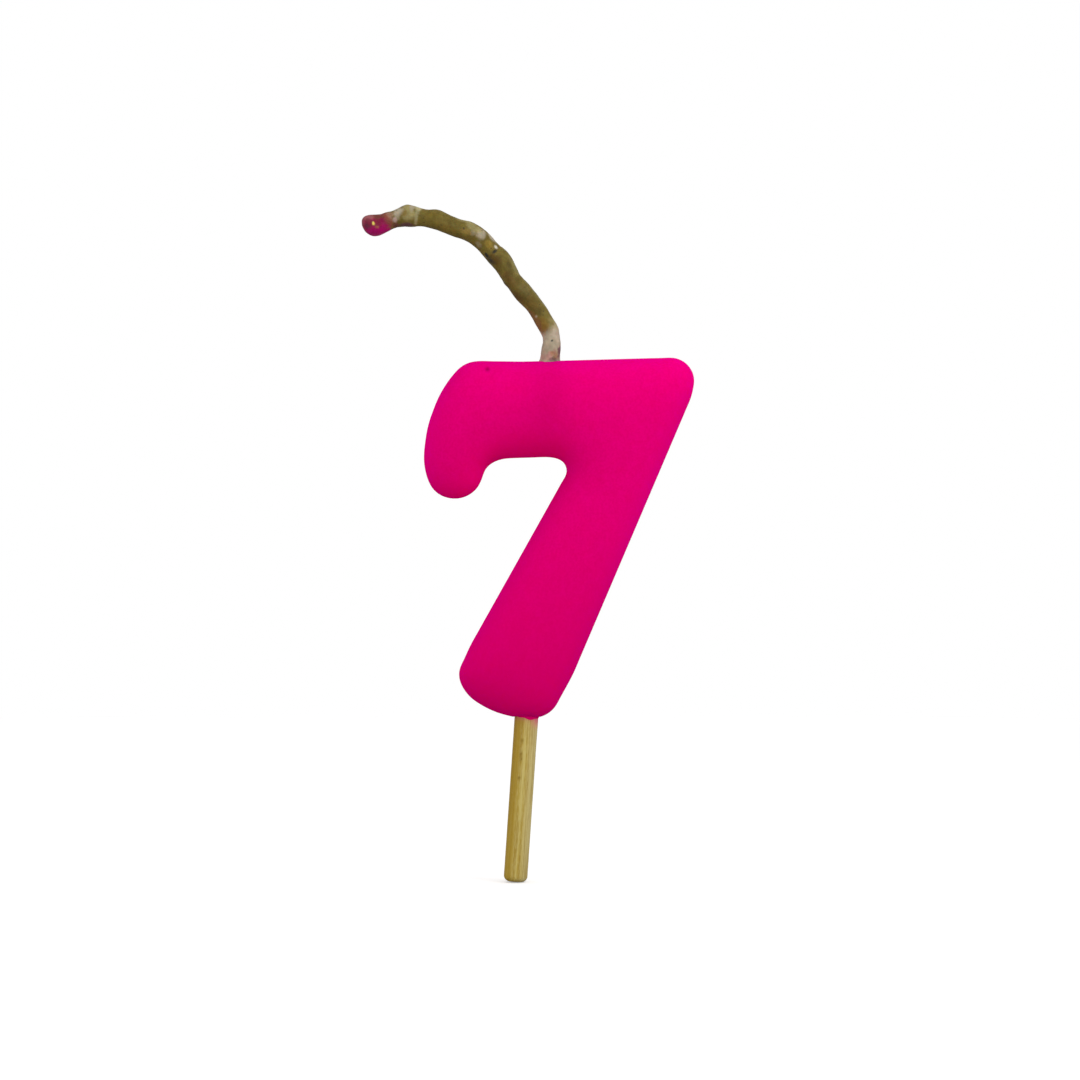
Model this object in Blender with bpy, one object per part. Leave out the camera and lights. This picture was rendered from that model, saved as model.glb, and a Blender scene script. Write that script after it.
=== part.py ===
"""A number birthday candle: a cast wax 7 on a bamboo stick, with a long bent wick.

The frame: the origin is the middle of the stick's bottom end, +Z is up the numeral,
+X is to the reader's right, and the numeral faces -Y. The stick leans a little, so
its axis runs up from the origin towards +X. Lengths are in millimetres until a mesh
is made, and in metres there.
"""

import math

import bmesh
import bpy
import numpy as np
from mathutils import Vector
from mathutils.geometry import delaunay_2d_cdt

MM = 0.001

# The stick and the wax that seals it.
STICK_RADIUS = 1.5
STICK_LEAN = math.radians(3.87)
STICK_EDGE = 0.5  # the rounding of its bottom edge
STICK_BEVEL = 0.6  # the cut corner of its hidden top end
STICK_EXPOSED = 20.9  # along its axis, from the bottom end to the wax
STICK_BURIED = 17.5
LIP_REACH = 0.35  # how far the bead of wax stands out around the stick
LIP_HEIGHT = 0.4
STICK_GAP = 0.15  # between the stick and its lip

# The numeral.
BODY_THICKNESS = 12.0
FACE_FLATNESS = 0.08  # per square millimetre: 0 is a fully blown face, and more is flatter
RING_INSETS = (0.05, 0.2, 0.5, 1.0, 1.7)
OUTLINE_STEP = 1.3
FACE_STEP = 1.7
SOCKET_GAP = 0.3  # around the stick and the wick core in their bores
SOCKET_BEVEL = 1.0  # at the blind end of the stick's socket
CUTTER_OVERRUN = 3.0  # how far each bore's cutter starts outside the wax

# Corners of the 7, with the radius that rounds each: X, Z, radius.
OUTLINE = (
    (-6.3, 66.1, 3.9),  # top of the hook
    (-9.3, 62.8, 14.2),  # its left side
    (-11.2, 57.8, 14.6),
    (-11.8, 52.8, 8.3),
    (-10.3, 49.0, 3.4),  # its round end
    (-8.0, 48.6, 2.3),
    (-4.9, 48.6, 3.6),
    (-3.8, 52.8, 2.7),
    (-1.6, 53.7, 5.2),  # under the arm
    (4.6, 53.9, 3.6),
    (7.2, 53.0, 1.5),  # the inner corner
    (-5.7, 30.0, 5.0),  # down the leg
    (-7.4, 26.3, 2.6),
    (-6.3, 23.8, 4.8),
    (-3.3, 21.6, 11.6),
    (1.1, 20.6, 9.5),  # the foot, around the stick
    (4.5, 21.1, 3.3),
    (7.3, 26.2, 12.3),
    (22.4, 61.6, 7.6),  # up the right edge
    (23.4, 66.6, 3.0),  # the top right corner
    (1.0, 66.0, 37.0),  # the top edge sags a little
)

# The wick: a braided core in a coat of wax, with a flared foot and a dipped tip.
CORE_RADIUS = 0.75
COAT_RADIUS = 1.18
COAT_BORE = 0.95
COLLAR_RADIUS = 1.6
COLLAR_TOP_RADIUS = 1.42
COLLAR_BORE = 1.3
COLLAR_HEIGHT = 1.0
BEAD_RADIUS = 1.42
BEAD_LENGTH = 4.1
BEAD_WALL = 0.9  # past the end of the core
BEAD_SHOULDER = 0.86  # its radius where the coat meets it, as a share of its widest
BEAD_FULLNESS = 0.7  # 1 is an ellipse, and less is blunter
WICK_BURIED = 9.5
WICK_STEP = 2.0  # between the core's points
BURIED_STEP = 2.4  # between the points of the route inside the wax
PIECE_GAP = 0.2  # between pieces that meet end to end along the wick
CREST_GAP = 0.15  # between the numeral's crests and the rings that sit on them

# Route of the wick from where it leaves the wax to its tip: X, Y, Z.
WICK_ROUTE = (
    (4.45, 0.00, 66.1),
    (4.60, 0.00, 68.6),
    (3.90, 0.05, 70.8),
    (2.20, 0.20, 73.4),
    (0.20, 0.35, 75.8),
    (-1.60, 0.35, 78.4),
    (-3.40, 0.20, 80.6),
    (-5.60, 0.00, 82.3),
    (-8.70, -0.20, 83.5),
    (-11.80, -0.20, 84.3),
    (-14.80, 0.00, 84.4),
    (-17.10, 0.20, 83.6),
    (-19.50, 0.25, 83.5),
)

BODY_TOP = 66.1  # Z of the top edge at the wick
SIDES_STICK = 32
SIDES_RING = 24
SIDES_WICK = 12


def clear_scene():
    for obj in list(bpy.data.objects):
        bpy.data.objects.remove(obj, do_unlink=True)


def material(name, colour, roughness):
    made = bpy.data.materials.new(name)
    made.use_nodes = True
    shader = made.node_tree.nodes["Principled BSDF"]
    shader.inputs["Base Color"].default_value = (*colour, 1.0)
    shader.inputs["Roughness"].default_value = roughness
    made.diffuse_color = (*colour, 1.0)
    return made


def make_object(name, bm, finish):
    """An object from a bmesh in millimetres, with its faces turned out and shaded smooth."""
    bmesh.ops.scale(bm, vec=(MM, MM, MM), verts=bm.verts)
    bmesh.ops.recalc_face_normals(bm, faces=bm.faces)
    mesh = bpy.data.meshes.new(name)
    bm.to_mesh(mesh)
    bm.free()
    mesh.shade_smooth()
    mesh.set_sharp_from_angle(angle=math.radians(35))
    obj = bpy.data.objects.new(name, mesh)
    bpy.context.scene.collection.objects.link(obj)
    if finish:
        mesh.materials.append(finish)
    return obj


def catmull_rom(knots, per_span=24):
    """A smooth curve through the knots, as closely spaced points."""
    knots = [Vector(knot) for knot in knots]
    first = 2 * knots[0] - knots[1]
    last = 2 * knots[-1] - knots[-2]
    run = [first, *knots, last]
    points = []
    for a, b, c, d in zip(run, run[1:], run[2:], run[3:]):
        for step in range(per_span):
            t = step / per_span
            bend = (2 * a - 5 * b + 4 * c - d) * t**2
            twist = (3 * b - a - 3 * c + d) * t**3
            points.append(0.5 * (2 * b + (c - a) * t + bend + twist))
    points.append(knots[-1])
    return points


class Path:
    """A curve that gives a point, and a frame across it, at any distance along it."""

    def __init__(self, points):
        self.points = [Vector(point) for point in points]
        self.distance = [0.0]
        for a, b in zip(self.points, self.points[1:]):
            self.distance.append(self.distance[-1] + (b - a).length)
        self.length = self.distance[-1]
        before = [self.points[0], *self.points[:-1]]
        after = [*self.points[1:], self.points[-1]]
        self.tangents = [(b - a).normalized() for a, b in zip(before, after)]

    def at(self, s):
        """The point and the tangent at distance s. Past either end the path runs straight on."""
        if s <= 0:
            return self.points[0] + self.tangents[0] * s, self.tangents[0]
        if s >= self.length:
            return self.points[-1] + self.tangents[-1] * (s - self.length), self.tangents[-1]
        i = int(np.searchsorted(self.distance, s, side="right")) - 1
        t = (s - self.distance[i]) / (self.distance[i + 1] - self.distance[i])
        point = self.points[i].lerp(self.points[i + 1], t)
        return point, self.tangents[i].lerp(self.tangents[i + 1], t).normalized()


def turned_along(path, profile, sides, closed=False):
    """A bmesh turned about a path: the profile lists (distance along the path, radius).

    A radius of 0 is a pole. A closed profile joins its last ring to its first, as a
    sleeve's does.
    """
    bm = bmesh.new()
    across = Vector((0.0, 1.0, 0.0))
    rings = []
    for s, radius in profile:
        centre, tangent = path.at(s)
        side = (across - tangent * across.dot(tangent)).normalized()
        up = tangent.cross(side)
        if radius == 0:
            rings.append([bm.verts.new(centre)])
            continue
        turns = [2 * math.pi * k / sides for k in range(sides)]
        around = [centre + radius * (math.cos(a) * side + math.sin(a) * up) for a in turns]
        rings.append([bm.verts.new(point) for point in around])
    pairs = list(zip(rings, rings[1:]))
    if closed:
        pairs.append((rings[-1], rings[0]))
    for low, high in pairs:
        for k in range(sides):
            bottom = [low[k % len(low)], low[(k + 1) % len(low)]]
            top = [high[(k + 1) % len(high)], high[k % len(high)]]
            bm.faces.new(dict.fromkeys(bottom + top))
    return bm


def spaced(start, end, step):
    """Distances from start to end in equal steps near the one asked for."""
    return list(np.linspace(start, end, max(1, round(abs(end - start) / step)) + 1))


def rounded_end(s, radius, edge, towards, count=4):
    """Profile points of a quarter-round edge on an end at s. towards is +1 or -1 along the path."""
    profile = []
    for k in range(count, -1, -1):
        turn = math.pi / 2 * k / count
        drop = edge * (1 - math.cos(turn))
        profile.append((s - towards * drop, radius - edge * (1 - math.sin(turn))))
    return profile


def stick_axis(height):
    """The point of the stick's axis at a distance along it from the bottom end."""
    return Vector((math.sin(STICK_LEAN), 0.0, math.cos(STICK_LEAN))) * height


def rounded_outline():
    """The 7's outline as evenly spaced points, with its corners rounded to their radii."""
    corners = np.array(OUTLINE)
    neighbours = zip(np.roll(corners, 1, 0), corners, np.roll(corners, -1, 0))
    loop = []
    for before, (x, z, radius), after in neighbours:
        corner = np.array((x, z))
        back = (before[:2] - corner) / np.linalg.norm(before[:2] - corner)
        on = (after[:2] - corner) / np.linalg.norm(after[:2] - corner)
        half = math.acos(float(back @ on)) / 2
        middle = corner + (back + on) / np.linalg.norm(back + on) * radius / math.sin(half)
        start = corner + back * radius / math.tan(half) - middle
        end = corner + on * radius / math.tan(half) - middle
        first = math.atan2(start[1], start[0])
        swept = (math.atan2(end[1], end[0]) - first + math.pi) % (2 * math.pi) - math.pi
        for turn in first + np.linspace(0, swept, 24):
            loop.append(middle + radius * np.array((math.cos(turn), math.sin(turn))))
    loop.append(loop[0])
    return evenly(np.array(loop), OUTLINE_STEP)


def evenly(loop, step):
    """A closed polyline's points, spaced evenly near the step asked for."""
    run = np.concatenate([[0.0], np.cumsum(np.linalg.norm(np.diff(loop, axis=0), axis=1))])
    places = np.linspace(0, run[-1], round(run[-1] / step) + 1)[:-1]
    return np.stack([np.interp(places, run, loop[:, k]) for k in (0, 1)], axis=1)


def distance_to(loop, points):
    """Each point's distance to a closed polyline."""
    start = loop[None]
    along = np.roll(loop, -1, 0)[None] - start
    away = points[:, None] - start
    share = np.clip((away * along).sum(2) / (along**2).sum(2), 0, 1)
    return np.linalg.norm(away - share[..., None] * along, axis=2).min(1)


def inside(loop, points):
    """Whether each point lies inside a closed polyline, by counting the edges to its right."""
    x, z = points[:, :1], points[:, 1:]
    x0, z0 = loop[:, 0], loop[:, 1]
    x1, z1 = np.roll(x0, -1), np.roll(z0, -1)
    crosses = (z0 > z) != (z1 > z)
    rise = np.where(z1 == z0, 1e-9, z1 - z0)
    hits = crosses & (x < (x1 - x0) * (z - z0) / rise + x0)
    return hits.sum(1) % 2 == 1


def blown_film(points, triangles, rim):
    """The height, from 0 to 1, of a film blown up over the outline, at each of a flat mesh's points.

    It solves the screened Poisson equation on the triangles, by finite elements, with
    the first rim points held at 0.
    """
    count = len(points)
    stiffness = np.zeros((count, count))
    area = np.zeros(count)
    for turn in range(3):
        a, b, c = (triangles[:, (turn + k) % 3] for k in range(3))
        to_b, to_c = points[b] - points[a], points[c] - points[a]
        doubled = np.abs(to_b[:, 0] * to_c[:, 1] - to_b[:, 1] * to_c[:, 0])
        weight = (to_b * to_c).sum(1) / doubled / 2
        for i, j, sign in ((b, c, -1), (c, b, -1), (b, b, 1), (c, c, 1)):
            np.add.at(stiffness, (i, j), sign * weight)
        np.add.at(area, a, doubled / 6)
    stiffness += np.diag(area) * FACE_FLATNESS
    height = np.zeros(count)
    height[rim:] = np.linalg.solve(stiffness[rim:, rim:], area[rim:])
    return height / height.max()


def inset_rings(outline):
    """The outline and its inward offsets, each as many points as the outline."""
    ahead = np.roll(outline, -1, 0) - np.roll(outline, 1, 0)
    ahead /= np.linalg.norm(ahead, axis=1)[:, None]
    inward = np.stack([-ahead[:, 1], ahead[:, 0]], axis=1)
    if not inside(outline, outline[:1] + 0.1 * inward[:1])[0]:
        inward = -inward
    return [outline + inset * inward for inset in (0.0, *RING_INSETS)]


def face_points(ring):
    """A triangular grid of points well inside the innermost ring."""
    low, high = ring.min(0), ring.max(0)
    row_step = FACE_STEP * math.sqrt(3) / 2
    rows = np.arange(low[1], high[1], row_step)
    grid = [
        (x + (k % 2) * FACE_STEP / 2, z)
        for k, z in enumerate(rows)
        for x in np.arange(low[0], high[0], FACE_STEP)
    ]
    grid = np.array(grid)
    grid = grid[inside(ring, grid)]
    return grid[distance_to(ring, grid) > 0.6 * FACE_STEP]


def face_triangles(rings, grid):
    """Triangles over the points of every ring and then of the grid, by their numbers."""
    count = len(rings[0])
    triangles = []
    for first in range(0, count * (len(rings) - 1), count):
        for i in range(count):
            a, b = first + i, first + (i + 1) % count
            triangles += [(a, b, b + count), (a, b + count, a + count)]
    edge = [(i, (i + 1) % count) for i in range(count)]
    flat = [Vector(point) for point in (*rings[-1], *grid)]
    filled = delaunay_2d_cdt(flat, edge, [], 1, 1e-6)[2]
    offset = count * (len(rings) - 1)
    return triangles + [tuple(offset + i for i in face) for face in filled]


def numeral_mesh():
    """The whole 7: a face blown up like a cushion over the outline, and the same again behind."""
    rings = inset_rings(rounded_outline())
    rim = len(rings[0])
    grid = face_points(rings[-1])
    points = np.concatenate([*rings, grid])
    triangles = face_triangles(rings, grid)
    depth = BODY_THICKNESS / 2 * np.sqrt(blown_film(points, np.array(triangles), rim))
    bm = bmesh.new()
    waist = [bm.verts.new((x, 0.0, z)) for x, z in rings[0]]
    for side in (-1, 1):
        verts = list(waist)
        for (x, z), y in zip(points[rim:], depth[rim:]):
            verts.append(bm.verts.new((x, side * y, z)))
        for corners in triangles:
            bm.faces.new([verts[i] for i in corners])
    return bm


def cutter(name, bm):
    made = make_object(name, bm, None)
    made.hide_render = True
    made.display_type = "WIRE"
    return made


def cut(obj, tool):
    modifier = obj.modifiers.new(tool.name, "BOOLEAN")
    modifier.operation = "DIFFERENCE"
    modifier.solver = "EXACT"
    modifier.object = tool


def numeral_body(axis, wick):
    finish = material("pink_wax", (0.73, 0.0, 0.165), 0.55)
    body = make_object("numeral_body", numeral_mesh(), finish)
    radius = STICK_RADIUS + SOCKET_GAP
    end = STICK_EXPOSED + STICK_BURIED + SOCKET_GAP
    mouth = STICK_EXPOSED - CUTTER_OVERRUN
    socket = [(mouth, 0), (mouth, radius), (end - SOCKET_BEVEL, radius)]
    socket += [(end, radius - SOCKET_BEVEL), (end, 0)]
    cut(body, cutter("stick_socket_cutter", turned_along(axis, socket, SIDES_STICK)))
    radius = CORE_RADIUS + SOCKET_GAP
    mouth = WICK_BURIED + CUTTER_OVERRUN
    channel = [(-SOCKET_GAP, 0), (-SOCKET_GAP, radius), (mouth, radius), (mouth, 0)]
    cut(body, cutter("wick_channel_cutter", turned_along(wick, channel, SIDES_RING)))


def bamboo_stick(axis):
    top = STICK_EXPOSED + STICK_BURIED
    profile = [(0, 0)]
    profile += reversed(rounded_end(0, STICK_RADIUS, STICK_EDGE, -1))
    profile += [(top - STICK_BEVEL, STICK_RADIUS), (top, STICK_RADIUS - STICK_BEVEL), (top, 0)]
    finish = material("bamboo", (0.42, 0.30, 0.09), 0.6)
    make_object("bamboo_stick", turned_along(axis, profile, SIDES_STICK), finish)


def stick_seal_lip(axis):
    """The bead of wax round the stick, under the numeral's foot."""
    bore = STICK_RADIUS + STICK_GAP
    top = STICK_EXPOSED - CREST_GAP
    low = top - LIP_HEIGHT
    profile = [(top, bore), (low, bore), (low, bore + 0.1 * LIP_REACH)]
    profile += [(low + 0.4 * LIP_HEIGHT, bore + 0.4 * LIP_REACH)]
    profile += [(top - 0.2 * LIP_HEIGHT, bore + LIP_REACH), (top, bore + LIP_REACH)]
    finish = material("seal_wax", (0.66, 0.01, 0.15), 0.5)
    make_object("stick_seal_lip", turned_along(axis, profile, SIDES_RING, closed=True), finish)


def wick_path():
    """From the blind end of the channel, up the stick's axis line, and out along the route."""
    foot = Vector(WICK_ROUTE[0])
    down = -stick_axis(1.0)
    buried = [foot + down * s for s in spaced(WICK_BURIED, BURIED_STEP, BURIED_STEP)]
    return Path(catmull_rom([*buried, *WICK_ROUTE]))


def wick_core(path, end):
    """The braided cotton cord, as a plain tube."""
    curve = bpy.data.curves.new("wick_core", "CURVE")
    curve.dimensions = "3D"
    curve.bevel_depth = CORE_RADIUS * MM
    curve.bevel_resolution = 2
    curve.use_fill_caps = True
    places = spaced(0, end, WICK_STEP)
    spline = curve.splines.new("POLY")
    spline.points.add(len(places) - 1)
    for point, s in zip(spline.points, places):
        point.co = (*(path.at(s)[0] * MM), 1.0)
    spline.use_smooth = True
    curve.materials.append(material("cotton", (0.52, 0.45, 0.33), 0.9))
    obj = bpy.data.objects.new("wick_core", curve)
    bpy.context.scene.collection.objects.link(obj)


def wick_wax_coat(path, start, end):
    outer = [(s, COAT_RADIUS) for s in spaced(start, end, WICK_STEP / 2)]
    inner = [(s, COAT_BORE) for s in reversed(spaced(start, end, WICK_STEP / 2))]
    sleeve = turned_along(path, outer + inner, SIDES_WICK, closed=True)
    make_object("wick_wax_coat", sleeve, material("wick_wax", (0.20, 0.135, 0.03), 0.5))


def wick_foot_collar(path, start):
    """The flared foot of wax round the wick, on the numeral's top edge."""
    top = start + COLLAR_HEIGHT
    profile = [(start, COLLAR_BORE), (start, COLLAR_RADIUS)]
    profile += [(start + 0.3 * COLLAR_HEIGHT, COLLAR_TOP_RADIUS + 0.1)]
    profile += [(top, COLLAR_TOP_RADIUS), (top, COLLAR_BORE)]
    collar = turned_along(path, profile, SIDES_RING, closed=True)
    make_object("wick_foot_collar", collar, material("foot_wax", (0.45, 0.30, 0.27), 0.5))


def wick_tip_bead(path, start):
    """The dipped tip: a fat drop of wax with a blind socket for the end of the core."""
    floor = start + BEAD_LENGTH - BEAD_WALL
    shoulder = math.asin(BEAD_SHOULDER ** (1 / BEAD_FULLNESS))
    reach = BEAD_LENGTH / (1 + math.cos(shoulder))
    profile = [(floor, 0), (floor, COAT_BORE), (start, COAT_BORE)]
    for turn in np.linspace(shoulder, math.pi, 9)[:-1]:
        along = reach * (math.cos(shoulder) - math.cos(turn))
        profile.append((start + along, BEAD_RADIUS * math.sin(turn) ** BEAD_FULLNESS))
    profile.append((start + BEAD_LENGTH, 0))
    finish = material("tip_wax", (0.40, 0.01, 0.12), 0.45)
    make_object("wick_tip_bead", turned_along(path, profile, SIDES_RING), finish)


def main():
    clear_scene()
    axis = Path([stick_axis(0.0), stick_axis(100.0)])
    wick = wick_path()
    foot = WICK_BURIED + BODY_TOP - WICK_ROUTE[0][2] + CREST_GAP
    bead = wick.length - BEAD_LENGTH
    numeral_body(axis, wick)
    bamboo_stick(axis)
    stick_seal_lip(axis)
    wick_core(wick, wick.length - BEAD_WALL - PIECE_GAP)
    wick_wax_coat(wick, foot, bead - PIECE_GAP)
    wick_foot_collar(wick, foot)
    wick_tip_bead(wick, bead)


main()
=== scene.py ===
"""The finished look of the number birthday candle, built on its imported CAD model.

Lengths are in millimetres until a mesh is made. +Z is up the numeral, +X is to the
reader's right and the numeral's front faces -Y. A place on the wick or the stick is
(along, turn): the distance along its route, and the angle round it in degrees, from 0
at the front, through 90 on the right or upper side, to 180 at the back.
"""

import math

import bmesh
import bpy
import numpy as np
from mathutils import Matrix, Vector, noise
from mathutils.geometry import delaunay_2d_cdt


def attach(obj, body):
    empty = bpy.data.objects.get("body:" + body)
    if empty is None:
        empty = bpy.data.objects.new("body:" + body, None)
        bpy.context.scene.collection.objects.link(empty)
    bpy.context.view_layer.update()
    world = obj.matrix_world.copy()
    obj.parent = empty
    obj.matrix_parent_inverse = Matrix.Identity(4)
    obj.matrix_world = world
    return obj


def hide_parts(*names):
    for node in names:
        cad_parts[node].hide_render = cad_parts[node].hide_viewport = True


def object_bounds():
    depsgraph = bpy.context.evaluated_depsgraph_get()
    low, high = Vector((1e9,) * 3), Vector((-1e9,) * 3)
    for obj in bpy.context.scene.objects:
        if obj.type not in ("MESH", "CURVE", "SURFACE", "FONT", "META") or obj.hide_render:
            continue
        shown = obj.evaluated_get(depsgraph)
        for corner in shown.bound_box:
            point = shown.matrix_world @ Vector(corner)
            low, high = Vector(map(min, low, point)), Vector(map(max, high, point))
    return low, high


MM = 0.001

# The camera: a long lens, level, square to the numeral's front.
LENS = 100.0
SENSOR = 36.0
VIEW_WIDTH = 137.16  # across the picture, at the candle
VIEW_SHIFT = (1.54, 0.57)  # of its middle, from the middle of the CAD box: X, Z

# The numeral.
BODY_THICKNESS = 12.0
FACE_FLATNESS = 0.08  # per square millimetre: 0 is a fully blown face, and more is flatter
RIM_INSETS = (0.01, 0.04, 0.1, 0.2, 0.34, 0.52)
WAIST_STEP = 1.4
OUTLINE_STEP = 0.34
FACE_STEP = 0.46
FILM_ROUNDS = 500
UNEVENNESS = 0.035  # of its faces
WELD = 0.002  # between CAD points that are one point
BORE_MARGIN = 0.3
PIT_PLACE = (-3.5, 64.85)  # X, Z of an air bubble's pit on the front face
PIT_RADIUS = 0.3
PIT_DEPTH = 0.22
PIT_REACH = 0.8  # of the closer points round it
PIT_SHADE = 5.0  # how many times the buried wick's shade it has
PIT_CIRCLES = 6
PIT_SPOKES = 14
SOCKET_GAP = 0.3  # around the stick and the cord in their bores
CUTTER_OVERRUN = 3.0
WICK_SHADE = 0.15  # how far the buried wick darkens the wax in front of it
WICK_SHADE_WIDTH = 2.8
PINK_RELIEF = 0.006
PINK_SPECULAR = 0.0
PAINTED_RIM_GLOW = 0.9  # how much brighter the pink is painted where the faces turn away: painted light
FOOT_SHADE = 0.6  # how much painted shade darkens the pink towards the foot
FOOT_SHADE_FADE = (50.0, 24.0)  # the painted foot shade, from this height down to this one
UNDER_SHADE_HUE = 0.5  # how much of the painted shade hue, redder and less blue, it has where it faces down

# The stick and the wax that seals it.
STICK_RADIUS = 1.5
STICK_LEAN = math.radians(3.87)
STICK_EDGE = 0.72  # the rounding of its bottom end
STICK_EXPOSED = 20.9
STICK_BURIED = 17.5
STICK_SIDES = 96
STICK_RINGS = 61  # up its bare length
BURIED_RINGS = 8
FIBRE_RELIEF = 0.016
FIBRE_STRETCH = (1.0, 1.0, 0.03)  # of the noise, which makes its lumps long ones
END_ROUGHNESS = 0.05
SMEAR_TURN = 78  # where pink wax has run down the stick
SMEAR_LENGTH = 1.7
LIP_BORE = 1.52
LIP_HEIGHT = 0.05
LIP_REACH = 0.14
LIP_COVER = 0.9  # how far it goes up into the numeral
PORE_DEPTH = 0.07
# Pores in the bamboo: along, turn, half length, half width in degrees.
PORES = ((17.9, -13, 0.22, 7), (16.2, -14, 0.35, 6), (15.6, -12, 0.3, 5), (13.2, -16, 0.2, 6))

# The wick. Its route is the CAD's: X, Y, Z.
WICK_BURIED = 9.5
BURIED_STEP = 2.4
WICK_ROUTE = (
    (4.45, 0.00, 66.1),
    (4.60, 0.00, 68.6),
    (3.90, 0.05, 70.8),
    (2.20, 0.20, 73.4),
    (0.20, 0.35, 75.8),
    (-1.60, 0.35, 78.4),
    (-3.40, 0.20, 80.6),
    (-5.60, 0.00, 82.3),
    (-8.70, -0.20, 83.5),
    (-11.80, -0.20, 84.3),
    (-14.80, 0.00, 84.4),
    (-17.10, 0.20, 83.6),
    (-19.50, 0.25, 83.5),
)
# Its uneven coat: along, radius, shift towards its upper side.
WICK_GIRTH = (
    (0.0, 1.20, -0.05),
    (1.5, 1.20, -0.05),
    (3.0, 1.11, 0.04),
    (3.8, 1.16, 0.08),
    (5.3, 1.15, -0.03),
    (7.5, 1.12, 0.00),
    (9.8, 1.21, -0.01),
    (11.3, 1.13, -0.02),
    (12.0, 1.15, -0.09),
    (12.8, 1.20, 0.01),
    (14.3, 1.29, 0.13),
    (15.6, 1.33, 0.00),
    (16.5, 1.23, -0.10),
    (18.0, 1.22, 0.04),
    (20.3, 1.25, 0.05),
    (21.8, 1.19, -0.07),
    (23.3, 1.22, -0.02),
    (24.8, 1.25, 0.11),
    (26.2, 1.13, 0.00),
    (27.7, 1.35, 0.00),
    (28.5, 1.39, 0.04),
    (29.3, 1.22, -0.10),
    (30.0, 1.09, -0.16),
    (30.8, 1.17, -0.06),
    (31.5, 1.22, -0.09),
    (32.3, 1.34, -0.19),
    (33.0, 1.34, -0.17),
    (33.7, 1.10, 0.00),
    (34.1, 0.74, 0.12),
    (34.3, 0.34, 0.16),
)
COAT_START = 0.15
COAT_END = 32.7
COAT_BORE = 0.9
CORE_RADIUS = 0.75
COAT_NECK = 1.02  # its radius inside the collar and the bead
BEAD_START = 30.2
BEAD_BORE = 1.06
BEAD_FLOOR = 33.2
COLLAR_START = -0.25
COLLAR_TOP = 1.0
COLLAR_BORE = 1.08
COLLAR_FLARE = 0.22
WICK_RING_STEP = 0.12
WICK_SIDES = 56
WICK_STRANDS = 3
WICK_TWIST = 4.2  # along, for a third of a turn of its strands
WICK_RELIEF = 0.022
WICK_LUMPS = 0.055
WICK_GRAIN = 0.02


def srgb(red, green, blue):
    """A display colour, 0 to 255, as linear red, green and blue."""
    channels = []
    for value in (red, green, blue):
        share = value / 255
        low = share <= 0.04045
        channels.append(share / 12.92 if low else ((share + 0.055) / 1.055) ** 2.4)
    return tuple(channels)
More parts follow.
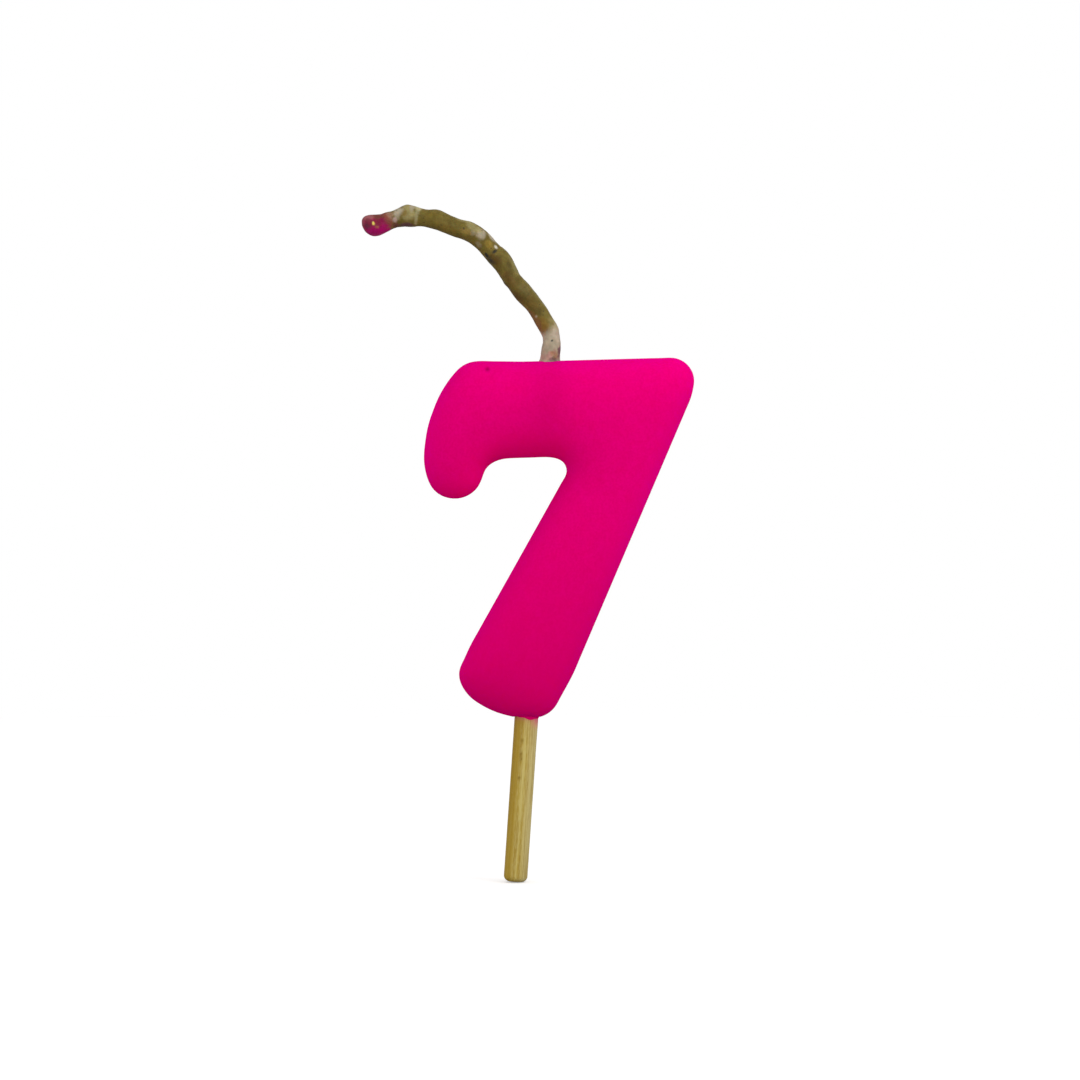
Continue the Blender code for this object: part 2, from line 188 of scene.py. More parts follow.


# Stains in the wick's wax, and two painted glints of light on its tip, painted in this order:
# along, turn, half length, half width in degrees, colour, strength.
ALL_ROUND = 400
OLIVE = srgb(109, 94, 36)
CREAM = srgb(180, 168, 146)
PALE_OLIVE = srgb(156, 144, 94)
TAN = srgb(126, 98, 30)
UMBER = srgb(84, 62, 30)
BLACK = srgb(38, 36, 34)
PLUM = srgb(88, 50, 66)
BLUSH = srgb(178, 130, 120)
ROSE = srgb(136, 66, 60)
MAGENTA = srgb(136, 0, 66)
MAUVE = srgb(144, 76, 80)
# The colour of a painted glint of light on the tip.
PAINTED_GLINT = srgb(230, 210, 96)
WICK_STAINS_AND_GLINTS = (
    # The pale foot, with traces of the pink wax.
    (1.4, 0, 2.15, ALL_ROUND, srgb(170, 159, 134), 1.0),
    (3.3, 60, 0.8, 60, CREAM, 0.8),
    (0.1, -40, 0.7, 60, BLUSH, 0.6),
    (0.6, -5, 0.5, 16, BLUSH, 0.6),
    (0.35, 22, 0.3, 10, UMBER, 0.6),
    (0.8, 34, 0.5, 18, srgb(150, 108, 62), 0.6),
    (1.3, 62, 0.7, 22, PLUM, 0.9),
    (1.1, 22, 0.4, 10, ROSE, 0.4),
    (0.9, 8, 0.3, 9, srgb(150, 100, 60), 0.6),
    (0.1, 8, 0.25, 12, PLUM, 0.6),
    (0.1, 32, 0.3, 12, PLUM, 0.6),
    (0.5, 56, 0.4, 16, PLUM, 0.5),
    (4.4, 62, 0.7, 50, PALE_OLIVE, 0.5),
    (4.6, -40, 0.9, 40, srgb(132, 96, 48), 0.7),
    (2.5, 2, 0.13, 7, BLACK, 0.9),
    (1.7, -75, 1.0, 20, srgb(150, 136, 118), 0.6),
    # Warm patches up the first bend.
    (5.0, -22, 1.0, 34, TAN, 0.7),
    (5.9, -60, 1.8, 34, srgb(124, 88, 52), 0.7),
    (7.9, 0, 1.0, 26, TAN, 0.7),
    (6.2, -32, 0.16, 8, CREAM, 0.7),
    (9.6, -48, 0.8, 24, UMBER, 0.7),
    (10.9, -70, 1.4, 22, UMBER, 0.6),
    (9.9, 20, 0.9, 22, PALE_OLIVE, 0.3),
    (12.2, -20, 1.1, 26, srgb(120, 88, 40), 0.6),
    (9.5, -6, 3.6, 44, srgb(88, 72, 24), 0.5),
    (9.0, 74, 4.0, 20, srgb(130, 120, 78), 0.4),
    (13.2, 58, 1.4, 22, srgb(138, 130, 84), 0.4),
    (13.6, 20, 0.55, 15, srgb(84, 72, 26), 0.75),
    (15.2, -24, 1.0, 24, srgb(90, 66, 18), 0.8),
    # The crest, where the coat is flaky.
    (15.7, -50, 0.8, 20, srgb(74, 64, 44), 0.8),
    (16.5, -47, 0.34, 14, BLACK, 0.95),
    (15.5, -46, 0.25, 9, BLACK, 0.7),
    (16.1, 9, 0.2, 15, BLACK, 0.9),
    (16.45, 38, 0.24, 10, srgb(214, 208, 192), 0.9),
    (17.6, 72, 0.7, 24, CREAM, 0.75),
    (18.2, -40, 0.5, 16, CREAM, 0.25),
    (18.8, 26, 0.6, 34, CREAM, 0.75),
    (19.7, 2, 0.35, 18, CREAM, 0.35),
    (17.3, 8, 0.6, 20, srgb(140, 116, 40), 0.8),
    (19.9, 40, 0.9, 30, PALE_OLIVE, 0.8),
    (20.6, -10, 0.8, 16, srgb(150, 124, 60), 0.6),
    (21.2, 62, 1.0, 18, PALE_OLIVE, 0.5),
    (21.0, 2, 0.12, 6, BLACK, 0.85),
    (23.3, -30, 1.4, 30, srgb(118, 98, 36), 0.5),
    (25.3, 10, 0.9, 24, srgb(116, 98, 32), 0.6),
    # Two pale bands before the tip.
    (27.0, 62, 0.34, 46, srgb(186, 178, 138), 0.65),
    (27.1, -10, 0.2, 46, srgb(178, 170, 130), 0.45),
    (27.6, 6, 0.4, 30, PALE_OLIVE, 0.5),
    (28.3, 26, 0.9, 54, PALE_OLIVE, 0.75),
    (27.7, 46, 0.3, 30, CREAM, 0.6),
    (28.6, 8, 0.45, 16, TAN, 0.7),
    (29.35, 34, 0.55, 44, CREAM, 0.75),
    (28.4, -62, 0.9, 22, PLUM, 0.8),
    (28.9, 84, 0.25, 14, PLUM, 0.8),
    (29.9, -12, 0.3, 17, srgb(186, 156, 148), 0.8),
    (30.1, -60, 0.6, 30, srgb(104, 58, 52), 0.8),
    (30.9, 20, 0.6, 60, ROSE, 0.8),
    (30.3, 30, 0.4, 30, srgb(170, 130, 110), 0.6),
    # The dipped tip, with two painted glints of light on it.
    (32.6, -20, 1.5, ALL_ROUND, MAGENTA, 1.0),
    (32.0, 56, 1.1, 30, srgb(112, 60, 44), 0.85),
    (33.5, 50, 0.8, 32, srgb(156, 92, 92), 0.8),
    (34.2, 0, 0.3, ALL_ROUND, MAUVE, 0.5),
    (33.3, 12, 0.5, 28, srgb(112, 36, 52), 0.75),
    (33.5, -22, 0.4, 16, PLUM, 0.6),
    (32.3, -62, 1.3, 44, srgb(170, 0, 98), 0.9),
    (32.3, 8, 0.5, 20, srgb(104, 30, 38), 0.6),
    # Two painted glints of light: a bright one, and a dim one below it.
    (32.75, 6, 0.15, 8, PAINTED_GLINT, 0.95),
    (32.3, -16, 0.3, 4, srgb(176, 118, 52), 0.6),
)
STAIN_WOBBLE = 0.35  # how ragged their edges are
BACK_SHIFT = 0.7  # along the wick, of the same stains and painted glints on its unseen back

# The pink wax.
PINK = (0.81, 0.0, 0.194)
PINK_PALE = (0.84, 0.0, 0.214)
PINK_DEEP = (0.78, 0.0, 0.172)
PINK_PAINTED_RIM_GLOW = (0.96, 0.0, 0.225)  # painted light on its thin edges, for light shining through them
# Painted shade: darker and redder towards the foot.
PINK_FOOT_SHADE = (0.72, 0.0, 0.148)
# Painted shade hue: the redder, less blue pink of shade, where the faces turn down.
PINK_UNDER_SHADE = (0.88, 0.0, 0.15)
PINK_SHADE = (0.35, 0.0, 0.07)

# Soft studio lights: name, place, what it is aimed at, size, watts.
LIGHTS = (
    ("front", (0, -420, 60), (2, 0, 40), 300, 0.46),
    ("key", (130, -110, 150), (10, 0, 56), 110, 0.08),
)
ROOM_LIGHT = 0.77
FLOOR_COLOUR = (0.85, 0.85, 0.85)
FLOOR_BOUNCE = (0.4, 0.4, 0.4)
FLOOR_LIFT = 0.35
FLOOR_GAP = 0.02
FLOOR_RADIUS = 420.0
FLOOR_SIDES = 128
FLOOR_FADE = 260.0  # the radius where it starts to fade into the white room

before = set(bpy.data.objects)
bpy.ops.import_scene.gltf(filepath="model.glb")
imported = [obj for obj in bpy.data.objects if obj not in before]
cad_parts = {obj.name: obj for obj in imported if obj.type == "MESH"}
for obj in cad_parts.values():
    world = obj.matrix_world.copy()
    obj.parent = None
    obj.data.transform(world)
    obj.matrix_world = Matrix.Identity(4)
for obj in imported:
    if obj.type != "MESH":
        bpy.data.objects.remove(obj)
cad_low, cad_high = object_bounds()


# Routes and grids of points.


def smooth_curve(knots, per_span=24):
    """A Catmull-Rom curve through the knots, as closely spaced points."""
    knots = np.array(knots, float)
    run = np.concatenate([[2 * knots[0] - knots[1]], knots, [2 * knots[-1] - knots[-2]]])
    share = np.arange(per_span)[:, None] / per_span
    points = []
    for a, b, c, d in zip(run, run[1:], run[2:], run[3:]):
        bend = (2 * a - 5 * b + 4 * c - d) * share**2
        twist = (3 * b - a - 3 * c + d) * share**3
        points.append(0.5 * (2 * b + (c - a) * share + bend + twist))
    return np.concatenate([*points, knots[-1:]])


class Path:
    """A route through space, measured along from a distance of start past its first point."""

    def __init__(self, points, start=0.0):
        self.points = np.array(points, float)
        steps = np.linalg.norm(np.diff(self.points, axis=0), axis=1)
        self.along = np.concatenate([[0.0], np.cumsum(steps)]) - start
        self.tangents = np.gradient(self.points, axis=0)
        self.end = self.along[-1]

    def centres(self, along, shift=0.0):
        """The middles of the rings at these distances, and the two directions across each."""
        middle = np.stack([np.interp(along, self.along, self.points[:, k]) for k in range(3)], 1)
        ahead = np.stack([np.interp(along, self.along, self.tangents[:, k]) for k in range(3)], 1)
        ahead /= np.linalg.norm(ahead, axis=1)[:, None]
        front = ahead * ahead[:, 1:2] - np.array((0.0, 1.0, 0.0))
        front /= np.linalg.norm(front, axis=1)[:, None]
        upper = np.cross(ahead, front)
        shift = np.broadcast_to(shift, len(middle))[:, None]
        return middle + upper * shift, front, upper

    def rings(self, along, turns, radius, shift=0.0):
        """Rings of points round the route: an array of rings, turns and X, Y, Z."""
        middle, front, upper = self.centres(along, shift)
        angle = np.radians(turns)[None, :, None]
        outwards = np.cos(angle) * front[:, None] + np.sin(angle) * upper[:, None]
        radius = np.broadcast_to(radius, (len(middle), len(turns)))[..., None]
        return middle[:, None] + outwards * radius


def stick_axis(height):
    """The point of the stick's axis at a distance along it from the bottom end."""
    return np.array((math.sin(STICK_LEAN), 0.0, math.cos(STICK_LEAN))) * height


def turns_round(sides):
    """Evenly spaced turns, in degrees from -180."""
    return np.arange(sides) * 360.0 / sides - 180.0


def apart(turns, turn):
    """The angle between turns, in degrees, the short way round."""
    return np.abs((turns - turn + 180.0) % 360.0 - 180.0)


def smoothstep(low, high, values):
    """0 at or before low, 1 at or past high, and a smooth rise between them."""
    share = np.clip((values - low) / (high - low), 0, 1)
    return share * share * (3 - 2 * share)


def table_at(table, column, along):
    """A smooth curve through one column of a table whose first column is the distance."""
    knots = np.array(table, float)
    fine = smooth_curve(knots[:, [0, column]], 12)
    return np.interp(along, fine[:, 0], fine[:, 1])


def noise_at(points, size, seed=0.0):
    """Smooth noise, about -1 to 1, with lumps of that size in millimetres."""
    offset = Vector((seed * 17.3, seed * 5.1, seed * 29.7))
    flat = points.reshape(-1, 3) / size
    values = [noise.noise(Vector(point) + offset) for point in flat]
    return np.array(values).reshape(points.shape[:-1])


# Meshes and pieces.


def loft(rings, wrap=False, poles=(None, None)):
    """Points and faces over rings of points. It wraps from the last ring to the first as a
    sleeve does, or ends in a pole wherever one is given."""
    count, sides = rings.shape[:2]
    points = list(rings.reshape(-1, 3))
    faces = []
    for low in range(count if wrap else count - 1):
        high = (low + 1) % count
        for k in range(sides):
            on = (k + 1) % sides
            faces.append((low * sides + k, low * sides + on, high * sides + on, high * sides + k))
    for ring, pole in ((0, poles[0]), (count - 1, poles[1])):
        if pole is not None:
            points.append(pole)
            tip = len(points) - 1
            faces += [(ring * sides + k, ring * sides + (k + 1) % sides, tip) for k in range(sides)]
    return np.array(points), faces


def make_object(name, points, faces):
    """A mesh object from points in millimetres, with its faces turned outwards."""
    mesh = bpy.data.meshes.new(name)
    mesh.from_pydata((points * MM).tolist(), [], faces)
    bm = bmesh.new()
    bm.from_mesh(mesh)
    bmesh.ops.recalc_face_normals(bm, faces=bm.faces)
    bm.to_mesh(mesh)
    bm.free()
    obj = bpy.data.objects.new(name, mesh)
    bpy.context.scene.collection.objects.link(obj)
    return obj


def points_of(obj):
    """The object's points in millimetres."""
    points = np.empty(len(obj.data.vertices) * 3)
    obj.data.vertices.foreach_get("co", points)
    return points.reshape(-1, 3) / MM


def paint(obj, name, values):
    """Keeps a value or a colour at each point of the mesh, for its material to read."""
    if values.ndim == 1:
        layer = obj.data.attributes.new(name, "FLOAT", "POINT")
        layer.data.foreach_set("value", values.astype(np.float32))
        return
    layer = obj.data.attributes.new(name, "FLOAT_COLOR", "POINT")
    opaque = np.concatenate([values, np.ones((len(values), 1))], axis=1)
    layer.data.foreach_set("color", opaque.astype(np.float32).ravel())


def finish_piece(obj, look, slot, *nodes):
    """Gives a piece its material, smooth shading and place on the candle's one body."""
    obj.data.shade_smooth()
    obj.data.set_sharp_from_angle(angle=math.radians(50))
    obj.data.materials.append(look)
    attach(obj, "root")
    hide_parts(*nodes)
    return obj


class Look:
    """A procedural material. Its calls add nodes and return their output sockets."""

    def __init__(self, name, **sockets):
        self.material = bpy.data.materials.new(name)
        self.material.use_nodes = True
        self.tree = self.material.node_tree
        self.shader = self.tree.nodes["Principled BSDF"]
        for socket, value in sockets.items():
            self.shader.inputs[socket.replace("_", " ")].default_value = value

    def add(self, kind, **settings):
        node = self.tree.nodes.new("ShaderNode" + kind)
        for name, value in settings.items():
            setattr(node, name, value)
        return node

    def join(self, source, target):
        if isinstance(source, bpy.types.NodeSocket):
            self.tree.links.new(source, target)
        else:
            target.default_value = source

    def place(self, stretch=(1.0, 1.0, 1.0), lean=0.0):
        """The candle's own coordinates, leant about Y and then scaled."""
        mapping = self.add("Mapping", vector_type="POINT")
        mapping.inputs["Rotation"].default_value = (0.0, lean, 0.0)
        self.join(self.add("TexCoord").outputs["Object"], mapping.inputs["Vector"])
        scaling = self.add("VectorMath", operation="MULTIPLY")
        self.join(mapping.outputs["Vector"], scaling.inputs[0])
        scaling.inputs[1].default_value = stretch
        return scaling.outputs["Vector"]

    def noise(self, size, detail=2.0, place=None):
        """Noise from 0 to 1 whose lumps are about this many millimetres."""
        node = self.add("TexNoise")
        node.inputs["Scale"].default_value = 1.0 / (size * MM)
        node.inputs["Detail"].default_value = detail
        self.join(place or self.place(), node.inputs["Vector"])
        return node.outputs["Fac"]

    def spots(self, size, radius, place=None):
        """1 in round spots, one to each cell of this size, and 0 between them."""
        node = self.add("TexVoronoi")
        node.inputs["Scale"].default_value = 1.0 / (size * MM)
        self.join(place or self.place(), node.inputs["Vector"])
        return self.ranged(node.outputs["Distance"], radius, radius * 0.5, 0.0, 1.0)

    def value(self, name):
        return self.add("Attribute", attribute_name=name).outputs["Fac"]

    def colour(self, name):
        return self.add("Attribute", attribute_name=name).outputs["Color"]

    def ranged(self, value, low, high, to_low, to_high):
        node = self.add("MapRange", interpolation_type="SMOOTHSTEP")
        for socket, number in zip(range(1, 5), (low, high, to_low, to_high)):
            node.inputs[socket].default_value = number
        self.join(value, node.inputs["Value"])
        return node.outputs["Result"]

    def maths(self, operation, first, second):
        node = self.add("Math", operation=operation)
        self.join(first, node.inputs[0])
        self.join(second, node.inputs[1])
        return node.outputs["Value"]

    def ramp(self, value, *stops):
        """Stops are (place, colour)."""
        node = self.add("ValToRGB")
        elements = node.color_ramp.elements
        while len(elements) < len(stops):
            elements.new(0.5)
        for element, (place, colour) in zip(elements, stops):
            element.position = place
            element.color = (*colour, 1.0)
        self.join(value, node.inputs["Fac"])
        return node.outputs["Color"]

    def mix(self, value, first, second, kind="MIX"):
        node = self.add("MixRGB", blend_type=kind)
        self.join(value, node.inputs["Fac"])
        for colour, socket in ((first, "Color1"), (second, "Color2")):
            if isinstance(colour, tuple):
                colour = (*colour, 1.0)
            self.join(colour, node.inputs[socket])
        return node.outputs["Color"]

    def relief(self, height, depth):
        """Fine relief of that depth in millimetres."""
        node = self.add("Bump")
        node.inputs["Distance"].default_value = depth * MM
        self.join(height, node.inputs["Height"])
        self.join(node.outputs["Normal"], self.shader.inputs["Normal"])

    def coloured(self, colour):
        self.join(colour, self.shader.inputs["Base Color"])

    def roughened(self, value):
        self.join(value, self.shader.inputs["Roughness"])


# The camera.


def make_camera():
    data = bpy.data.cameras.new("camera")
    data.lens = LENS
    data.sensor_width = SENSOR
    data.clip_start = 0.01
    data.clip_end = 20.0
    camera = bpy.data.objects.new("camera", data)
    middle = (cad_low + cad_high) / 2
    away = VIEW_WIDTH * LENS / SENSOR * MM
    camera.location = (middle.x + VIEW_SHIFT[0] * MM, -away, middle.z + VIEW_SHIFT[1] * MM)
    camera.rotation_euler = (math.radians(90), 0, 0)
    bpy.context.scene.collection.objects.link(camera)
    bpy.context.scene.camera = camera


# The wick.


def wick_path():
    """The CAD's route: buried along the stick's line, and then free. Distance 0 is at the wax."""
    foot = np.array(WICK_ROUTE[0])
    count = round(WICK_BURIED / BURIED_STEP)
    steps = np.linspace(WICK_BURIED, WICK_BURIED / count, count)
    buried = [foot - stick_axis(step) for step in steps]
    return Path(smooth_curve([*buried, *WICK_ROUTE]), WICK_BURIED)


def wick_shift(along):
    """How far the wick's surface sits towards its upper side."""
    return table_at(WICK_GIRTH, 2, along)


def wick_skin(path, along, turns):
    """Rings of the uneven wax surface of the wick, with the slow twist of the cord in it."""
    radius = table_at(WICK_GIRTH, 1, along)[:, None]
    shift = wick_shift(along)
    plain = path.rings(along, turns, radius, shift)
    twist = along[:, None] / WICK_TWIST * 2 * math.pi
    strands = np.cos(np.radians(turns[None] * WICK_STRANDS) - twist)
    lumps = noise_at(plain, 1.6) * WICK_LUMPS + noise_at(plain, 0.5, 3) * WICK_GRAIN
    taper = np.clip(radius / 1.1, 0, 1)
    return path.rings(along, turns, radius + (strands * WICK_RELIEF + lumps) * taper, shift)


def stains_and_glints(points, along, turns):
    """The wick's colours, stains and painted glints at rings of points."""
    along = along[:, None] + 0 * turns[None]
    turns = turns[None] + 0 * along
    ragged = noise_at(points, 0.7, 7) + 0.5 * noise_at(points, 0.28, 9)
    tone = 1 + 0.16 * noise_at(points, 0.9, 5) + 0.07 * noise_at(points, 0.3, 4)
    colours = np.array(OLIVE) * tone[..., None]
    for place, turn, length, width, colour, strength in WICK_STAINS_AND_GLINTS:
        reach = np.hypot((along - place) / length, apart(turns, turn) / width)
        behind = np.hypot((along - place - BACK_SHIFT) / length, apart(turns, 180 - turn) / width)
        edge = (np.minimum(reach, behind) - 1) * max(length, 1.0) + STAIN_WOBBLE * ragged
        cover = strength * smoothstep(0.4, -0.4, edge)
        colours += (np.array(colour) * tone[..., None] - colours) * cover[..., None]
    return colours.reshape(-1, 3)


def wax_look(name):
    """Waxed cord: its painted colours, with fine mottling, dark flecks and a low sheen."""
    look = Look(name, Specular_IOR_Level=0.16, Subsurface_Weight=0.12, Subsurface_Scale=0.0006)
    mottle = look.noise(0.6, 3.0)
    shading = look.ramp(mottle, (0.3, (0.36,) * 3), (0.7, (0.64,) * 3))
    colour = look.mix(0.5, look.colour("stain_and_glint"), shading, "OVERLAY")
    patches = look.ranged(look.noise(1.4), 0.5, 0.62, 0.0, 0.8)
    flecks = look.maths("MULTIPLY", look.spots(0.55, 0.2), patches)
    look.coloured(look.mix(flecks, colour, srgb(52, 44, 36)))
    look.roughened(look.ranged(look.noise(0.6, 3.0), 0.3, 0.7, 0.62, 0.42))
    look.relief(look.noise(0.3, 2.0), 0.02)
    return look.material


def wick_coat(path):
    """The sleeve of wax round the cord, necked down inside the collar and the tip's bead."""
    turns = turns_round(WICK_SIDES)
    outer = np.arange(COAT_START, COAT_END, WICK_RING_STEP)
    rings = wick_skin(path, outer, turns)
    middle, _, _ = path.centres(outer, wick_shift(outer))
    colours = stains_and_glints(rings, outer, turns)
    inside = smoothstep(COLLAR_TOP, COLLAR_TOP - 0.2, outer)
    inside += smoothstep(BEAD_START - 0.05, BEAD_START + 0.15, outer)
    neck = path.rings(outer, turns, COAT_NECK, wick_shift(outer))
    rings += (neck - rings) * inside[:, None, None]
    bore = path.rings(outer[::-4], turns, COAT_BORE, wick_shift(outer[::-4]))
    points, faces = loft(np.concatenate([rings, bore]), wrap=True)
    coat = make_object("wick_coat", points, faces)
    hidden = np.full((len(points) - len(colours), 3), CREAM)
    paint(coat, "stain_and_glint", np.concatenate([colours, hidden]))
    finish_piece(coat, wax_look("waxed_cord"), "wick_wax", "wick_wax_coat")
    return coat, middle


def wick_bead(path):
    """The dipped tip: a fat drop of wax round the end of the coat."""
    turns = turns_round(WICK_SIDES)
    outer = np.arange(BEAD_START, path.end - 0.02, WICK_RING_STEP)
    rings = wick_skin(path, outer, turns)
    colours = stains_and_glints(rings, outer, turns)
    bore_along = np.array((BEAD_FLOOR, BEAD_FLOOR - 1.0, BEAD_FLOOR - 2.0, BEAD_START))
    bore = path.rings(bore_along, turns, BEAD_BORE, wick_shift(bore_along))
    floor = path.centres(bore_along[:1], wick_shift(bore_along[:1]))[0][0]
    tip = path.centres(np.array([path.end]), WICK_GIRTH[-1][2])[0][0]
    points, faces = loft(np.concatenate([bore, rings]), poles=(floor, tip))
    bead = make_object("wick_tip", points, faces)
    hidden = np.full((len(bore) * len(turns), 3), MAGENTA)
    paint(bead, "stain_and_glint", np.concatenate([hidden, colours, [MAGENTA, colours[-1]]]))
    return finish_piece(bead, wax_look("dipped_wax"), "tip_wax", "wick_tip_bead")


def wick_collar(path):
    """The flared foot of wax round the wick, standing on the numeral's top edge."""
    turns = turns_round(WICK_SIDES)
    outer = np.linspace(COLLAR_START, COLLAR_TOP, 14)
    rise = (COLLAR_TOP - outer) / (COLLAR_TOP - COLLAR_START)
    skin = wick_skin(path, outer, turns)
    colours = stains_and_glints(skin, outer, turns)
    middle, _, _ = path.centres(outer, wick_shift(outer))
    spread = 1 + COLLAR_FLARE * rise**3 + 0.02 * smoothstep(0, 0.15, rise)
    rings = middle[:, None] + (skin - middle[:, None]) * spread[:, None, None]
    bore = path.rings(outer[::-3], turns, COLLAR_BORE, wick_shift(outer[::-3]))
    points, faces = loft(np.concatenate([rings, bore]), wrap=True)
    collar = make_object("wick_collar", points, faces)
    hidden = np.full((len(points) - len(colours), 3), BLUSH)
    paint(collar, "stain_and_glint", np.concatenate([colours, hidden]))
    return finish_piece(collar, wax_look("foot_wax"), "foot_wax", "wick_foot_collar")


def cotton_look():
    """Twisted cotton, soaked in wax."""
    look = Look("soaked_cotton", Roughness=0.85, Specular_IOR_Level=0.2)
    fibres = look.noise(0.25, 4.0, look.place((1.0, 1.0, 0.25), math.radians(35)))
    look.coloured(look.ramp(fibres, (0.3, srgb(150, 132, 100)), (0.7, srgb(214, 200, 170))))
    look.relief(fibres, 0.06)
    return look.material


def make_wick():
    path = wick_path()
    coat, middle = wick_coat(path)
    bead = wick_bead(path)
    collar = wick_collar(path)
    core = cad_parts["wick_core"]
    core.data.materials.clear()
    core.data.materials.append(cotton_look())


# The numeral.


def near_bore(vert, mouth, ahead, depth, radius):
    """Whether a CAD point is on the wall of a bore, or at its mouth."""
    away = np.array(vert.co) / MM - mouth
    along = away @ ahead
    beside = np.linalg.norm(away - along * ahead)
    return -CUTTER_OVERRUN < along < depth + BORE_MARGIN and beside < radius + BORE_MARGIN


def waist_chains():
    """The CAD numeral's waist, as runs of points that the mouths of its bores part."""
    bm = bmesh.new()
    bm.from_mesh(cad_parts["numeral_body"].data)
    bmesh.ops.remove_doubles(bm, verts=bm.verts, dist=WELD * MM)
    up = stick_axis(1.0)
    socket = (stick_axis(STICK_EXPOSED), up, STICK_BURIED + SOCKET_GAP, STICK_RADIUS + SOCKET_GAP)
    foot = np.array(WICK_ROUTE[0])
    channel = (foot, -up, WICK_BURIED + SOCKET_GAP, CORE_RADIUS + SOCKET_GAP)

    def kept(vert):
        level = abs(vert.co.y) < WELD * MM
        return level and not near_bore(vert, *socket) and not near_bore(vert, *channel)

    beside = {}
    for edge in bm.edges:
        a, b = edge.verts
        if kept(a) and kept(b):
            beside.setdefault(a, []).append(b)
            beside.setdefault(b, []).append(a)
    chains = []
    for start in sorted(beside, key=lambda vert: vert.index):
        if len(beside[start]) != 1 or any(start in chain for chain in chains):
            continue
        chain = [start]
        while True:
            ahead = [vert for vert in beside[chain[-1]] if vert not in chain[-2:]]
            if not ahead:
                break
            chain.append(ahead[0])
        chains.append(chain)
    runs = [np.array([(v.co.x, v.co.z) for v in chain]) / MM for chain in chains]
    bm.free()
    return runs


def filled(run):
    """The run with points added along its long straight edges."""
    points = []
    for start, end in zip(run, run[1:]):
        count = math.ceil(np.linalg.norm(end - start) / WAIST_STEP)
        points += [start + (end - start) * k / count for k in range(count)]
    return np.array([*points, run[-1]])


def waist_line():
    """The waist's points in order, once round, but for the gaps at the bores."""
    runs = sorted((filled(run) for run in waist_chains()), key=len)
    line = runs.pop()
    while runs:
        gaps = [min(np.linalg.norm(line[-1] - run[k]) for k in (0, -1)) for run in runs]
        run = runs.pop(int(np.argmin(gaps)))
        if np.linalg.norm(line[-1] - run[-1]) < np.linalg.norm(line[-1] - run[0]):
            run = run[::-1]
        line = np.concatenate([line, run])
    return line


def closed_spline(points, step):
    """Evenly spaced points of the smooth closed curve through these."""
    count = len(points)
    ahead = np.roll(points, -1, 0) - points
    span = np.linalg.norm(ahead, axis=1)
    slope = ahead / span[:, None]
    before = np.roll(span, 1)
    system = np.diag(2 * (span + before))
    index = np.arange(count)
    system[index, (index + 1) % count] += span
    system[index, index - 1] += before
    bend = np.linalg.solve(system, 6 * (slope - np.roll(slope, 1, 0)))
    run = np.concatenate([[0.0], np.cumsum(span)])
    places = np.linspace(0, run[-1], round(run[-1] / step) + 1)[:-1]
    i = np.searchsorted(run, places, side="right") - 1
    share = ((places - run[i]) / span[i])[:, None]
    j = (i + 1) % count
    bow = ((1 - share) ** 3 - (1 - share)) * bend[i] + (share**3 - share) * bend[j]
    return (1 - share) * points[i] + share * points[j] + bow * span[i, None] ** 2 / 6


def inside(loop, points):
    """Whether each point lies inside a closed polyline, by counting the edges to its right."""
    x, z = points[:, :1], points[:, 1:]
    x0, z0 = loop[:, 0], loop[:, 1]
    x1, z1 = np.roll(x0, -1), np.roll(z0, -1)
    crosses = (z0 > z) != (z1 > z)
    rise = np.where(z1 == z0, 1e-9, z1 - z0)
    hits = crosses & (x < (x1 - x0) * (z - z0) / rise + x0)
    return hits.sum(1) % 2 == 1


def distance_to(loop, points):
    """Each point's distance to a loop of close points."""
    nearest = [np.hypot(*(loop - point).T).min() for point in points]
    return np.array(nearest)


def inset_rings(outline):
    """The outline and its inward offsets, each as many points as the outline."""
    ahead = np.roll(outline, -1, 0) - np.roll(outline, 1, 0)
    ahead /= np.linalg.norm(ahead, axis=1)[:, None]
    inward = np.stack([-ahead[:, 1], ahead[:, 0]], axis=1)
    if not inside(outline, outline[:1] + 0.1 * inward[:1])[0]:
        inward = -inward
    return [outline + inset * inward for inset in (0.0, *RIM_INSETS)]


def face_points(ring):
    """A triangular grid of points inside the innermost ring, closer together round the pit."""
    low, high = ring.min(0), ring.max(0)
    rows = np.arange(low[1], high[1], FACE_STEP * math.sqrt(3) / 2)
    grid = []
    for k, z in enumerate(rows):
        for x in np.arange(low[0] + (k % 2) * FACE_STEP / 2, high[0], FACE_STEP):
            grid.append((x, z))
    grid = np.array(grid)
    grid = grid[inside(ring, grid)]
    grid = grid[distance_to(ring, grid) > 0.6 * FACE_STEP]
    pit = np.array(PIT_PLACE)
    grid = grid[np.linalg.norm(grid - pit, axis=1) > PIT_REACH + 0.1]
    circles = [pit]
    for radius in np.linspace(PIT_REACH / PIT_CIRCLES, PIT_REACH, PIT_CIRCLES):
        for turn in np.arange(PIT_SPOKES) * 2 * math.pi / PIT_SPOKES:
            circles.append(pit + radius * np.array((math.cos(turn), math.sin(turn))))
    circles = np.array(circles)
    circles = circles[inside(ring, circles)]
    circles = circles[distance_to(ring, circles) > 0.2 * FACE_STEP]
    return np.concatenate([grid, circles])


def face_triangles(rings, grid):
    """Triangles over the points of every ring and then of the grid, by their numbers."""
    count = len(rings[0])
    triangles = []
    for first in range(0, count * (len(rings) - 1), count):
        for i in range(count):
            a, b = first + i, first + (i + 1) % count
            triangles += [(a, b, b + count), (a, b + count, a + count)]
    edge = [(i, (i + 1) % count) for i in range(count)]
    flat = [Vector(point) for point in (*rings[-1], *grid)]
    filled = delaunay_2d_cdt(flat, edge, [], 1, 1e-6)[2]
    offset = count * (len(rings) - 1)
    return np.array(triangles + [tuple(offset + i for i in face) for face in filled])


